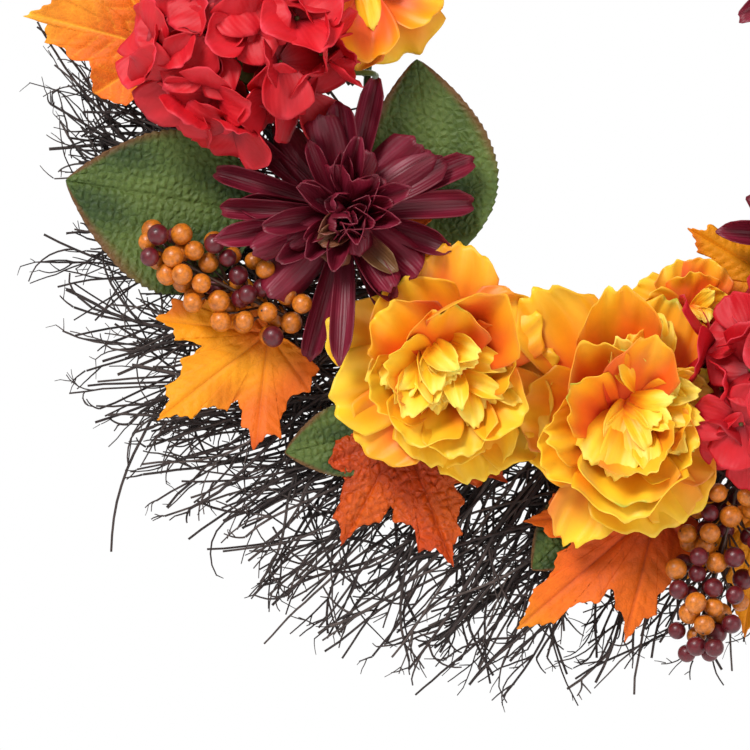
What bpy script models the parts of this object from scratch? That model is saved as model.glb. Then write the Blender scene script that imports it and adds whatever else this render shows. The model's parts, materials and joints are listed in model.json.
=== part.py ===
"""Harvest door wreath: a welded wire ring, eight swept twig bundles bound to it with wire, push-on
silk blooms on wired stems, maple and green leaves, berry sprays and a folding hanging loop.

Units are metres, +Z is up and the front faces -Y. The origin is the inside top of the hanging loop,
where a hook carries the wreath, and the door is the plane Y = FRAME_DEPTH behind it. "Depth" is the
distance in front of the door, and angles run anticlockwise from +X as seen from the front.
"""

import math

import bmesh
import bpy
from mathutils import Matrix, Vector

MM = 0.001
GAP = 0.4 * MM  # between pieces that touch on the real wreath

# Welded ring frame
OUTER_RING_R = 152 * MM
INNER_RING_R = 112 * MM
FRAME_WIRE_R = 1.8 * MM
CROSS_WIRE_R = 1.5 * MM
CROSS_WIRES = 4
CROSS_WIRE_START = 22.0  # degrees

# Hanging loop, a wire bail hooked round the top of the outer ring
LOOP_WIRE_R = 1.2 * MM
LOOP_CLEARANCE = 0.8 * MM  # radial, between its eyes and the ring wire
LOOP_HALF_WIDTH = 13 * MM
LOOP_RISE = 34 * MM  # from the ring wire's axis to the inside top
LOOP_ARCH_POINTS = 9
EYE_POINTS = 9
EYE_TURN = 290.0  # degrees of wire round the ring

EYE_R = FRAME_WIRE_R + LOOP_CLEARANCE + LOOP_WIRE_R
FRAME_DEPTH = EYE_R + LOOP_WIRE_R  # depth of the ring wires' axes, so the eyes just reach the door
LOOP_AXIS_R = math.sqrt(OUTER_RING_R**2 - LOOP_HALF_WIDTH**2)  # up to the ring wire inside the eyes
RING_DROP = LOOP_AXIS_R + LOOP_RISE  # from the origin down to the wreath's centre

# Twig bundles: a tied root that opens into a swept fan with five points
BUNDLES = 8
TWIG_THICKNESS = 24 * MM
TWIG_INSET = 6 * MM  # of a root's inner end from the inner ring, and of its neck from the outer one
FAN_LENGTH = 47 * MM  # over which the neck opens into the fan
FINGER_START = 31 * MM  # from there to the notches between the points
FINGER_LENGTHS = (40 * MM, 56 * MM, 64 * MM, 54 * MM, 42 * MM)
ROOT_HALF_ANGLE = 12.0  # degrees
FAN_HALF_ANGLE = 21.6
SWEEP = 34.0  # degrees clockwise from root to tip
TWIG_ROOT_R = INNER_RING_R + TWIG_INSET
TWIG_NECK_R = OUTER_RING_R + TWIG_INSET
TWIG_FAN_R = TWIG_NECK_R + FAN_LENGTH
TWIG_NOTCH_R = TWIG_FAN_R + FINGER_START
TWIG_REACH = TWIG_NOTCH_R + max(FINGER_LENGTHS)
TWIG_BACK = FRAME_DEPTH + FRAME_WIRE_R + GAP
TWIG_FRONT = TWIG_BACK + TWIG_THICKNESS

# Binding wire, one closed winding with a turn for each bundle
BINDING_R = 0.5 * MM
BINDING_POINTS = 8  # for each turn
BINDING_MARGIN = 0.7 * MM
BINDING_TURN_MARGIN = 0.5  # degrees, from the edge of a root

# Stems: a peg for the bloom, a calyx cup and a wire led back to the inner ring
STEM_R = 1.5 * MM
PEG_R = 2.2 * MM
PEG_LENGTH = 9 * MM
PEG_CLEARANCE = 0.35 * MM
CALYX_R = 6.5 * MM
CALYX_LENGTH = 11 * MM
STEM_TIE_R = INNER_RING_R - FRAME_WIRE_R - STEM_R - GAP
STEM_BEND = 5 * MM
BLOOM_STAND_OFF = 20 * MM  # of a bloom's base from the outer leaves
BLOOM_SIDES = 12

# Leaves
LEAF_THICKNESS = 0.8 * MM
PETIOLE_WIDTH = 2.4 * MM
PETIOLE_SHARE = {"maple": 0.2, "green": 0.12}  # of the blade's length
OUTER_LEAF_DEPTH = TWIG_FRONT + 2 * BINDING_R + 2 * GAP
STEM_DEPTH = OUTER_LEAF_DEPTH + LEAF_THICKNESS + STEM_R + GAP  # of the stems' run over the twigs
BLOOM_DEPTH = OUTER_LEAF_DEPTH + BLOOM_STAND_OFF

# Berry sprays
BERRY_R = 5.2 * MM
BERRIES = 12
SPRAY_WIRE_R = 1.3 * MM
STALK_R = 0.8 * MM
STALK_REACH = 7 * MM  # along the wire
SPRAY_SPREAD = (7 * MM, 14 * MM)  # of the inner and the outer berries
SPRAY_FLATNESS = 0.3  # share of that spread towards the front and the back
SPRAY_STAND_OFF = 26 * MM  # from the outer leaves
GOLDEN_ANGLE = math.radians(137.5)

COLOURS = {
    "frame": ((0.03, 0.06, 0.03), 0.45, 0.6),
    "wire": ((0.05, 0.07, 0.05), 0.4, 0.8),
    "twig": ((0.045, 0.03, 0.025), 0.85, 0.0),
    "peony": ((0.95, 0.50, 0.03), 0.7, 0.0),
    "mum": ((0.16, 0.008, 0.03), 0.75, 0.0),
    "hydrangea": ((0.75, 0.02, 0.05), 0.7, 0.0),
    "stem": ((0.08, 0.15, 0.04), 0.6, 0.0),
    "maple_gold": ((0.90, 0.36, 0.02), 0.75, 0.0),
    "maple_rust": ((0.62, 0.10, 0.015), 0.75, 0.0),
    "green_leaf": ((0.09, 0.16, 0.04), 0.75, 0.0),
    "berry": ((0.62, 0.18, 0.02), 0.35, 0.0),
}

# A bloom's half outline from its top down its outer side, as (share of radius, share of height)
PEONY_SIDE = ((0.45, 1.0), (0.85, 0.88), (1.0, 0.66), (0.92, 0.50), (0.50, 0.28), (0.34, 0.0))
MUM_SIDE = ((0.28, 1.0), (0.52, 0.82), (0.62, 0.50), (0.70, 0.26), (1.0, 0.20), (0.97, 0.06), (0.2, 0.0))
HYDRANGEA_SIDE = ((0.42, 1.0), (0.80, 0.84), (1.0, 0.58), (0.97, 0.42), (0.24, 0.24), (0.22, 0.0))

# name: side outline, radius, height, colour
BLOOM_KINDS = {
    "peony": (PEONY_SIDE, 42 * MM, 46 * MM, "peony"),
    "low_peony": (PEONY_SIDE, 30 * MM, 18 * MM, "peony"),
    "mum": (MUM_SIDE, 48 * MM, 38 * MM, "mum"),
    "hydrangea": (HYDRANGEA_SIDE, 44 * MM, 56 * MM, "hydrangea"),
}

# kind, number in its name, angle round the ring, distance outside the inner ring, turn of the tie
BLOOMS = (
    ("peony", 1, 241.8, 45 * MM, 0.0),
    ("peony", 2, 273.5, 51 * MM, 0.0),
    ("low_peony", 3, 292.0, 5 * MM, 0.0),
    ("low_peony", 4, 156.0, 12 * MM, 0.0),
    ("peony", 5, 136.0, 74 * MM, 0.0),
    ("peony", 6, 88.0, 58 * MM, 0.0),
    ("peony", 7, 359.0, 58 * MM, 0.0),
    ("mum", 1, 207.0, 25 * MM, 4.0),
    ("mum", 2, 330.0, 34 * MM, 0.0),
    ("mum", 3, 116.0, 16 * MM, 4.0),
    ("mum", 4, 28.0, 28 * MM, 4.0),
    ("hydrangea", 1, 177.6, 56 * MM, 0.0),
    ("hydrangea", 2, 303.5, 60 * MM, 0.0),
    ("hydrangea", 3, 56.0, 56 * MM, 0.0),
)

# kind, number, angle of the base, its distance outside the inner ring, way the tip points, length,
# extra depth, tilt, colour
LEAVES = (
    ("maple", 1, 175.0, 98 * MM, 120.0, 80 * MM, 0.0, 4.0, "maple_gold"),
    ("maple", 2, 216.7, 87 * MM, 218.0, 68 * MM, 3 * MM, 5.0, "maple_gold"),
    ("maple", 3, 240.3, 80 * MM, 291.0, 69 * MM, 3 * MM, 4.0, "maple_rust"),
    ("maple", 4, 278.0, 93 * MM, 220.5, 90 * MM, 3 * MM, 4.0, "maple_rust"),
    ("maple", 5, 291.2, 107 * MM, 262.0, 60 * MM, 0.0, 3.0, "maple_gold"),
    ("maple", 6, 313.0, 21 * MM, 149.0, 56 * MM, 11 * MM, 2.0, "maple_gold"),
    ("maple", 7, 215.6, 19 * MM, 350.0, 42 * MM, 14 * MM, 0.0, "maple_gold"),
    ("maple", 8, 149.0, 86 * MM, 128.0, 76 * MM, 5 * MM, 5.0, "maple_rust"),
    ("maple", 9, 46.0, 78 * MM, 22.0, 84 * MM, 0.0, 5.0, "maple_rust"),
    ("maple", 10, 342.0, 84 * MM, 318.0, 82 * MM, 0.0, 5.0, "maple_gold"),
    ("green", 1, 200.8, 62 * MM, 170.0, 96 * MM, 0.0, 3.0, "green_leaf"),
    ("green", 2, 227.5, 3 * MM, 96.0, 98 * MM, 10 * MM, 1.0, "green_leaf"),
    ("green", 3, 238.7, 82 * MM, 192.0, 52 * MM, 0.0, 3.0, "green_leaf"),
    ("green", 4, 271.5, 85 * MM, 224.0, 52 * MM, 0.0, 3.0, "green_leaf"),
    ("green", 5, 112.0, 78 * MM, 98.0, 92 * MM, 0.0, 3.0, "green_leaf"),
    ("green", 6, 14.0, 84 * MM, 352.0, 92 * MM, 0.0, 4.0, "green_leaf"),
)

# number, angle of the root, its distance outside the inner ring, way the spray points, length
SPRAYS = (
    (1, 219.0, 71 * MM, 153.0, 84 * MM),
    (2, 289.5, 88 * MM, 258.0, 86 * MM),
    (3, 117.0, 88 * MM, 126.0, 82 * MM),
    (4, 18.0, 78 * MM, 40.0, 82 * MM),
)


def on_ring(angle, radius, depth):
    """The point at this angle (degrees) and distance round the ring's centre, in front of the door."""
    a = math.radians(angle)
    return Vector((radius * math.cos(a), FRAME_DEPTH - depth, radius * math.sin(a) - RING_DROP))


def facing_front(at, turn=0.0, tilt=0.0):
    """Local +Z points out at the viewer, local +X lies in the wreath's plane at the angle turn, and
    tilt (degrees) lifts that +X end away from the door."""
    face = Matrix.Rotation(math.pi / 2, 4, "X")
    spin = Matrix.Rotation(math.radians(turn), 4, "Z")
    lift = Matrix.Rotation(-math.radians(tilt), 4, "Y")
    return Matrix.Translation(at) @ face @ spin @ lift


def clear_scene():
    for obj in list(bpy.data.objects):
        bpy.data.objects.remove(obj)


def new_collection(name):
    made = bpy.data.collections.new(name)
    bpy.context.scene.collection.children.link(made)
    return made


def material(name):
    found = bpy.data.materials.get(name)
    if found:
        return found
    colour, roughness, metallic = COLOURS[name]
    made = bpy.data.materials.new(name)
    made.use_nodes = True
    shader = made.node_tree.nodes["Principled BSDF"]
    shader.inputs["Base Color"].default_value = (*colour, 1.0)
    shader.inputs["Roughness"].default_value = roughness
    shader.inputs["Metallic"].default_value = metallic
    return made


def add_object(name, data, colour, collection, matrix=None):
    obj = bpy.data.objects.new(name, data)
    data.materials.append(material(colour))
    collection.objects.link(obj)
    if matrix is not None:
        obj.matrix_world = matrix
    return obj


def add_helper(name, data, collection, matrix=None):
    """A shape that a Boolean joins in, which isn't a part itself."""
    obj = bpy.data.objects.new(name, data)
    collection.objects.link(obj)
    obj.hide_render = True
    obj.display_type = "WIRE"
    if matrix is not None:
        obj.matrix_world = matrix
    return obj


def tube_curve(name, points, radius, shares=None, sides=2, cyclic=False):
    """A wire along straight steps between points. shares scale its radius at each point."""
    curve = bpy.data.curves.new(name, "CURVE")
    curve.dimensions = "3D"
    curve.bevel_depth = radius
    curve.bevel_resolution = sides
    curve.use_fill_caps = not cyclic
    spline = curve.splines.new("POLY")
    spline.points.add(len(points) - 1)
    spline.use_cyclic_u = cyclic
    for i, point in enumerate(points):
        spline.points[i].co = (*point, 1.0)
        spline.points[i].radius = shares[i] if shares else 1.0
    return curve


def flat_outline(name, outline, thickness):
    """A flat plate with this closed outline, centred on its own XY plane."""
    curve = bpy.data.curves.new(name, "CURVE")
    curve.dimensions = "2D"
    curve.fill_mode = "BOTH"
    curve.extrude = thickness / 2
    spline = curve.splines.new("POLY")
    spline.points.add(len(outline) - 1)
    spline.use_cyclic_u = True
    for i, (x, y) in enumerate(outline):
        spline.points[i].co = (x, y, 0.0, 1.0)
    return curve


def closed_mesh_from_curve(curve, collection):
    """The curve as a closed mesh, for a Boolean."""
    holder = bpy.data.objects.new(curve.name, curve)
    collection.objects.link(holder)
    graph = bpy.context.evaluated_depsgraph_get()
    mesh = bpy.data.meshes.new_from_object(holder.evaluated_get(graph))
    bpy.data.objects.remove(holder)
    cleaned = bmesh.new()
    cleaned.from_mesh(mesh)
    bmesh.ops.remove_doubles(cleaned, verts=cleaned.verts, dist=GAP / 100)
    cleaned.to_mesh(mesh)
    cleaned.free()
    return mesh


def smooth_path(corners, steps):
    """Points along a smooth curve through the corners, with this many steps between each pair."""
    ends = [corners[0] * 2 - corners[1], *corners, corners[-1] * 2 - corners[-2]]
    path = [corners[0]]
    for i in range(1, len(ends) - 2):
        before, start, stop, after = ends[i - 1 : i + 3]
        for k in range(1, steps + 1):
            t = k / steps
            path.append(
                0.5
                * (
                    2 * start
                    + (stop - before) * t
                    + (2 * before - 5 * start + 4 * stop - after) * t * t
                    + (3 * start - before - 3 * stop + after) * t**3
                )
            )
    return path


def ring_mesh(name, ring_radius):
    bpy.ops.mesh.primitive_torus_add(
        major_radius=ring_radius, minor_radius=FRAME_WIRE_R, major_segments=48, minor_segments=8
    )
    obj = bpy.context.object
    mesh = obj.data
    mesh.name = name
    bpy.data.objects.remove(obj)
    return mesh


def make_ring_frame(parts, helpers):
    """Two wire rings. The cross wires are part of the outer one and butt against the inner one."""
    centre = facing_front(on_ring(0.0, 0.0, FRAME_DEPTH))
    add_object("inner_ring", ring_mesh("inner_ring", INNER_RING_R), "frame", parts, centre)
    outer = add_object("outer_ring", ring_mesh("outer_ring", OUTER_RING_R), "frame", parts, centre)
    wire_start = INNER_RING_R + FRAME_WIRE_R + GAP
    for i in range(CROSS_WIRES):
        name = f"cross_wire_{i + 1}"
        angle = CROSS_WIRE_START + 360 * i / CROSS_WIRES
        ends = [on_ring(angle, r, FRAME_DEPTH) for r in (wire_start, OUTER_RING_R)]
        wire = closed_mesh_from_curve(tube_curve(name, ends, CROSS_WIRE_R), helpers)
        union = outer.modifiers.new(name, "BOOLEAN")
        union.operation = "UNION"
        union.object = add_helper(name, wire, helpers)


def make_hanging_loop(parts):
    """A bail whose two eyes are hooked round the outer ring at the top, so that it folds about X."""
    axis = on_ring(90.0, LOOP_AXIS_R, FRAME_DEPTH)
    crown = LOOP_RISE + LOOP_WIRE_R  # height of the wire's axis at the top of the arch

    def eye(side):
        """From the free end, round the ring wire, to where the wire turns up on the door's side."""
        points = []
        for i in range(EYE_POINTS):
            a = math.radians(-EYE_TURN * (1 - i / (EYE_POINTS - 1)))
            offset = Vector((side * LOOP_HALF_WIDTH, EYE_R * math.cos(a), EYE_R * math.sin(a)))
            points.append(axis + offset)
        return points

    arch = []
    spring = crown - LOOP_HALF_WIDTH  # where the straight legs end and the half round begins
    for i in range(LOOP_ARCH_POINTS):
        a = math.pi * i / (LOOP_ARCH_POINTS - 1)
        x, z = -LOOP_HALF_WIDTH * math.cos(a), spring + LOOP_HALF_WIDTH * math.sin(a)
        arch.append(axis + Vector((x, 0.0, z)))
    points = eye(-1) + arch + eye(1)[::-1]
    add_object("hanging_loop", tube_curve("hanging_loop", points, LOOP_WIRE_R), "wire", parts)


def swept(radius):
    """How far a bundle has turned clockwise at this distance from the centre, in degrees."""
    return SWEEP * ((radius - TWIG_ROOT_R) / (TWIG_REACH - TWIG_ROOT_R)) ** 1.3


def bundle_middle(i):
    """The angle of a bundle's root. The loop, at 90 degrees, sits between the last and the first."""
    return 90 + 180 / BUNDLES + swept(OUTER_RING_R) + 360 * i / BUNDLES


def bundle_outline(middle):
    """The flat outline of one twig bundle, in the plane of the ring, about the ring's centre."""

    def at(radius, across):
        """across runs from -1 at one edge to 1 at the other."""
        opening = min(1.0, max(0.0, (radius - TWIG_NECK_R) / FAN_LENGTH))
        half = ROOT_HALF_ANGLE + (FAN_HALF_ANGLE - ROOT_HALF_ANGLE) * opening
        a = math.radians(middle - swept(radius) + across * half)
        return radius * math.cos(a), radius * math.sin(a)

    edge = [TWIG_ROOT_R, (TWIG_ROOT_R + TWIG_NECK_R) / 2, TWIG_NECK_R, TWIG_FAN_R]
    outline = [at(r, -1.0) for r in edge]
    fingers = len(FINGER_LENGTHS)
    for i, length in enumerate(FINGER_LENGTHS):
        outline.append(at(TWIG_NOTCH_R + length, (2 * i + 1) / fingers - 1))
        if i < fingers - 1:
            outline.append(at(TWIG_NOTCH_R, (2 * i + 2) / fingers - 1))
    outline += [at(r, 1.0) for r in reversed(edge)]
    outline.append(at(TWIG_ROOT_R, 0.0))
    return outline


def make_twig_bundles(parts):
    face = facing_front(on_ring(0.0, 0.0, TWIG_BACK + TWIG_THICKNESS / 2))
    for i in range(BUNDLES):
        name = f"twig_bundle_{i + 1}"
        outline = bundle_outline(bundle_middle(i))
        add_object(name, flat_outline(name, outline, TWIG_THICKNESS), "twig", parts, face)


def make_binding_wire(parts):
    """It crosses each root on the front and comes back behind the rings, one turn for each bundle.
    It holds the stems that are tied inside the inner ring too."""
    inner = STEM_TIE_R - STEM_R - GAP - BINDING_R
    outer = OUTER_RING_R + FRAME_WIRE_R + BINDING_MARGIN + BINDING_R
    back = FRAME_DEPTH - FRAME_WIRE_R - BINDING_MARGIN - BINDING_R
    front = TWIG_FRONT + BINDING_R + GAP
    total = BUNDLES * BINDING_POINTS
    # The outer front corner, a point past the middle of the front run, just clears the root's edge
    corner = bundle_middle(0) - swept(outer) + ROOT_HALF_ANGLE + BINDING_TURN_MARGIN
    corner_point = 3 * BINDING_POINTS / 8
    points = []
    for i in range(total):
        turn = 2 * math.pi * (i % BINDING_POINTS) / BINDING_POINTS
        angle = corner + 360 * (i - corner_point) / total
        # Each turn is a square, so that the runs lie flat along the front and the back
        across, out = math.cos(turn), math.sin(turn)
        push = 1 / max(abs(across), abs(out))
        radius = (inner + outer) / 2 - across * push * (outer - inner) / 2
        depth = (back + front) / 2 + out * push * (front - back) / 2
        points.append(on_ring(angle, radius, depth))
    curve = tube_curve("binding_wire", points, BINDING_R, sides=1, cyclic=True)
    add_object("binding_wire", curve, "wire", parts)


def make_bloom(name, kind, at, parts):
    """A turned solid with a socket in its base for the peg."""
    side, radius, height, colour = BLOOM_KINDS[kind]
    socket_r = PEG_R + PEG_CLEARANCE
    socket_top = PEG_LENGTH + PEG_CLEARANCE
    profile = [(0.0, height)]
    profile += [(radius * r, height * h) for r, h in side]
    profile += [(socket_r, 0.0), (socket_r, socket_top), (0.0, socket_top)]
    mesh = bpy.data.meshes.new(name)
    edges = [(i, i + 1) for i in range(len(profile) - 1)]
    mesh.from_pydata([(r, 0.0, h) for r, h in profile], edges, [])
    bloom = add_object(name, mesh, colour, parts, facing_front(at))
    turn = bloom.modifiers.new("turned", "SCREW")
    turn.axis = "Z"
    turn.steps = turn.render_steps = BLOOM_SIDES
    turn.use_merge_vertices = True
    turn.merge_threshold = 0.00005
    turn.use_smooth_shade = True


def make_stem(name, angle, radius, tie_turn, parts):
    """Peg, calyx cup and wire, as one curve whose thickness changes."""
    rim = BLOOM_DEPTH - GAP
    cup_end = rim - CALYX_LENGTH
    depths = (BLOOM_DEPTH + PEG_LENGTH, BLOOM_DEPTH, rim, (rim + cup_end) / 2, cup_end)
    shares = [PEG_R, PEG_R, CALYX_R, CALYX_R * 0.85, STEM_R]
    points = [on_ring(angle, radius, depth) for depth in depths]
    tie = angle + tie_turn
    route = [
        on_ring(angle, radius - STEM_BEND / 2, STEM_DEPTH),
        on_ring(tie, STEM_TIE_R + STEM_BEND, STEM_DEPTH),
        on_ring(tie, STEM_TIE_R, STEM_DEPTH - STEM_BEND),
        on_ring(tie, STEM_TIE_R, FRAME_DEPTH - FRAME_WIRE_R),
    ]
    wire = smooth_path(route, 2)
    points += wire
    shares += [STEM_R] * len(wire)
    curve = tube_curve(name, points, 1.0, shares, sides=1)
    add_object(name, curve, "stem", parts)


def make_flowers(parts):
    for kind, number, angle, out, tie_turn in BLOOMS:
        plain = kind.replace("low_", "")
        radius = INNER_RING_R + out
        make_stem(f"{plain}_stem_{number}", angle, radius, tie_turn, parts)
        make_bloom(f"{plain}_bloom_{number}", kind, on_ring(angle, radius, BLOOM_DEPTH), parts)


def maple_outline(length):
    """Five toothed lobes round the petiole's end, and the petiole itself, pointing along +X."""
    lobes = ((-122, 0.42), (-60, 0.76), (0, 1.0), (60, 0.76), (122, 0.42))
    half = PETIOLE_WIDTH / 2
    petiole = PETIOLE_SHARE["maple"] * length
    outline = [(-petiole, half), (-petiole, -half), (-0.03 * length, -half)]
    for i, (angle, reach) in enumerate(lobes):
        for turn, share in ((-15, 0.62), (-11, 0.78), (0, 1.0), (11, 0.78), (15, 0.62)):
            a = math.radians(angle + turn)
            outline.append((length * reach * share * math.cos(a), length * reach * share * math.sin(a)))
        if i < len(lobes) - 1:
            a = math.radians(angle + (lobes[i + 1][0] - angle) / 2)
            outline.append((0.30 * length * math.cos(a), 0.30 * length * math.sin(a)))
    outline.append((-0.03 * length, half))
    return outline


def green_outline(length):
    """A broad oval with a drawn-out tip, and its petiole."""
    half = PETIOLE_WIDTH / 2
    petiole = PETIOLE_SHARE["green"] * length
    width = 0.30 * length
    steps = 9
    side = []
    for i in range(1, steps):
        t = i / steps
        side.append((t * length, width * math.sin(math.pi * t**0.8) ** 0.8))
    lower = [(x, -y) for x, y in side]
    upper = side[::-1]
    base = [(-petiole, half), (-petiole, -half), (0.0, -half)]
    return base + lower + [(length, 0.0)] + upper + [(0.0, half)]


def make_leaves(parts):
    outlines = {"maple": maple_outline, "green": green_outline}
    for kind, number, angle, out, turn, length, extra, tilt, colour in LEAVES:
        name = f"{kind}_leaf_{number}"
        # The petiole's end is the lowest point of a tilted leaf
        lift = PETIOLE_SHARE[kind] * length * math.sin(math.radians(tilt))
        depth = OUTER_LEAF_DEPTH + extra + LEAF_THICKNESS / 2 + lift
        at = on_ring(angle, INNER_RING_R + out, depth)
        plate = flat_outline(name, outlines[kind](length), LEAF_THICKNESS)
        add_object(name, plate, colour, parts, facing_front(at, turn, tilt))


def berry_mesh():
    bpy.ops.mesh.primitive_uv_sphere_add(segments=6, ring_count=4, radius=BERRY_R)
    obj = bpy.context.object
    mesh = obj.data
    bpy.data.objects.remove(obj)
    return mesh


def make_spray(number, at, turn, length, berry, parts, helpers):
    """Berries on short stalks, set spirally round a wire that hooks back to the twigs at its root."""
    name = f"berry_spray_{number}"
    place = facing_front(at, turn)
    hook = Vector((-STALK_REACH, 0.0, SPRAY_WIRE_R - SPRAY_STAND_OFF))
    wire = [hook, Vector((0.0, 0.0, 0.0)), Vector((length - BERRY_R, 0.0, 0.0))]
    mesh = closed_mesh_from_curve(tube_curve(name, wire, SPRAY_WIRE_R, sides=1), helpers)
    spray = add_object(name, mesh, "berry", parts, place)
    cluster = new_collection(f"{name}_berries")
    for i in range(BERRIES):
        last = i == BERRIES - 1
        along = length - BERRY_R if last else length * (0.28 + 0.67 * i / BERRIES)
        away = 0.0 if last else SPRAY_SPREAD[i % 2]
        turned = (i + 2) * GOLDEN_ANGLE
        centre = Vector((along, away * math.cos(turned), SPRAY_FLATNESS * away * math.sin(turned)))
        berry_name = f"{name}_berry_{i + 1}"
        add_helper(berry_name, berry, cluster, place @ Matrix.Translation(centre))
        if not last:
            ends = [Vector((along - STALK_REACH, 0.0, 0.0)), centre]
            stalk = closed_mesh_from_curve(tube_curve(berry_name, ends, STALK_R, sides=1), helpers)
            add_helper(f"{name}_stalk_{i + 1}", stalk, cluster, place)
    union = spray.modifiers.new("berries", "BOOLEAN")
    union.operation = "UNION"
    union.operand_type = "COLLECTION"
    union.collection = cluster


def make_sprays(parts, helpers):
    berry = berry_mesh()
    for number, angle, out, turn, length in SPRAYS:
        at = on_ring(angle, INNER_RING_R + out, OUTER_LEAF_DEPTH + SPRAY_STAND_OFF)
        make_spray(number, at, turn, length, berry, parts, helpers)


def main():
    clear_scene()
    parts = new_collection("harvest_wreath")
    helpers = new_collection("helpers")
    make_ring_frame(parts, helpers)
    make_hanging_loop(parts)
    make_twig_bundles(parts)
    make_binding_wire(parts)
    make_flowers(parts)
    make_leaves(parts)
    make_sprays(parts, helpers)


main()
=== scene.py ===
"""The looks of the harvest door wreath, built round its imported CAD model.

Units are metres. The wreath faces -Y, and depth is the distance in front of the door behind it.
Angles are in degrees, anticlockwise from +X as seen from the front. Colours are sRGB, 0 to 255.
"""

import json
import math

import bmesh
import bpy
import numpy as np
from mathutils import Matrix, Vector


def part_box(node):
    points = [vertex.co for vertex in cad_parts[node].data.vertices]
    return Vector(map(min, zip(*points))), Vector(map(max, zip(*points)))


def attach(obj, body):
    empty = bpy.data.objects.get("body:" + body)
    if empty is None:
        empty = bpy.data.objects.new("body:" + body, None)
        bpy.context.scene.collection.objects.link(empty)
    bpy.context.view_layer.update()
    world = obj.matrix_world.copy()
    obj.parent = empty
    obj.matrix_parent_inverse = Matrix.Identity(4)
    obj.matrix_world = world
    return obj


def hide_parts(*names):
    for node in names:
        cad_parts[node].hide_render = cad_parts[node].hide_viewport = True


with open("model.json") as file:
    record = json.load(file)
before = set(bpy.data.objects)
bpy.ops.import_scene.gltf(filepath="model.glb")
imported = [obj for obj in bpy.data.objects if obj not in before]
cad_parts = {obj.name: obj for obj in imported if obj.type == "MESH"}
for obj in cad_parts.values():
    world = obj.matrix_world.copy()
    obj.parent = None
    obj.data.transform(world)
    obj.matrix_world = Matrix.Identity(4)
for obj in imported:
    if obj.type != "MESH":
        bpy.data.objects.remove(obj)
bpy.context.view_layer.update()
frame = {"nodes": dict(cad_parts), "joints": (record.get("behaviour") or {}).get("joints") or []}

MM = 0.001
BODY = "wreath"  # everything that isn't a bloom or the loop rides on it

# What the frame says about the ring
RING_LOW, RING_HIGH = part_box("inner_ring")
OUTER_LOW, OUTER_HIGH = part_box("outer_ring")
CENTRE = (RING_LOW + RING_HIGH) / 2
FRAME_WIRE_R = (RING_HIGH.y - RING_LOW.y) / 2
INNER_RING_R = (RING_HIGH.x - RING_LOW.x) / 2 - FRAME_WIRE_R
OUTER_RING_R = (OUTER_HIGH.x - OUTER_LOW.x) / 2 - FRAME_WIRE_R
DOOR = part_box("hanging_loop")[1].y  # the loop's eyes just reach the door
FRAME_DEPTH = DOOR - CENTRE.y
TWIG_LOW, TWIG_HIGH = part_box("twig_bundle_1")
TWIG_BACK, TWIG_FRONT = DOOR - TWIG_HIGH.y, DOOR - TWIG_LOW.y
LEAF_THICKNESS = 0.8 * MM

# The photograph's view: the lower left of the wreath, straight on
VIEW_CENTRE = (-108 * MM, -139 * MM)  # right of and above the ring's centre
CAMERA_DISTANCE = 2.0
VIEW_DEPTH = 50 * MM
LENS = 200.0
SENSOR = 36.0
FLOOR_HALF, FLOOR_Z = 2.4, -1.25


def on_ring(angle, radius, depth):
    a = math.radians(angle)
    return Vector((radius * math.cos(a), DOOR - depth, radius * math.sin(a) + CENTRE.z))


# ---- camera, light and floor


def make_camera():
    data = bpy.data.cameras.new("camera")
    data.lens = LENS
    data.sensor_width = SENSOR
    camera = bpy.data.objects.new("camera", data)
    camera.location = (VIEW_CENTRE[0], DOOR - VIEW_DEPTH - CAMERA_DISTANCE, CENTRE.z + VIEW_CENTRE[1])
    camera.rotation_euler = (math.pi / 2, 0, 0)
    bpy.context.scene.collection.objects.link(camera)
    bpy.context.scene.camera = camera


def area_light(name, at, size, power):
    data = bpy.data.lights.new(name, "AREA")
    data.size = size
    data.energy = power
    light = bpy.data.objects.new(name, data)
    light.location = at
    target = Vector((0, 0, CENTRE.z))
    light.rotation_euler = (target - light.location).to_track_quat("-Z", "Y").to_euler()
    bpy.context.scene.collection.objects.link(light)


def make_surroundings():
    """A pale room, brighter behind the wreath than in front of it, with three lamps."""
    scene = bpy.context.scene
    scene.view_settings.view_transform = "Standard"
    world = bpy.data.worlds.new("studio")
    world.use_nodes = True
    nodes, links = world.node_tree.nodes, world.node_tree.links
    nodes["Background"].inputs["Color"].default_value = (1, 1, 1, 1)
    way = nodes.new("ShaderNodeTexCoord")
    split = nodes.new("ShaderNodeSeparateXYZ")
    level = nodes.new("ShaderNodeMapRange")
    fill(level, From_Min=-0.1, From_Max=0.85, To_Min=0.5, To_Max=1.0)
    links.new(way.outputs["Generated"], split.inputs[0])
    links.new(split.outputs["Y"], level.inputs["Value"])
    links.new(level.outputs["Result"], nodes["Background"].inputs["Strength"])
    scene.world = world
    area_light("key", (-1.1, -1.7, 1.1), 0.7, 46)
    area_light("fill", (1.6, -1.6, -0.4), 1.4, 12)
    area_light("back", (0.4, 1.8, 0.9), 1.2, 22)
    floor = make_floor()


# ---- mesh building


def srgb(*rgb):
    """Linear colour from sRGB 0 to 255."""
    c = np.array(rgb, float) / 255
    return np.where(c <= 0.04045, c / 12.92, ((c + 0.055) / 1.055) ** 2.4)


def mix(a, b, share):
    share = np.clip(share, 0, 1)[..., None]
    return a * (1 - share) + b * share


def ramp(x, low, high):
    """0 below low, 1 above high, smooth between."""
    t = np.clip((x - low) / (high - low), 0, 1)
    return t * t * (3 - 2 * t)


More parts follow.
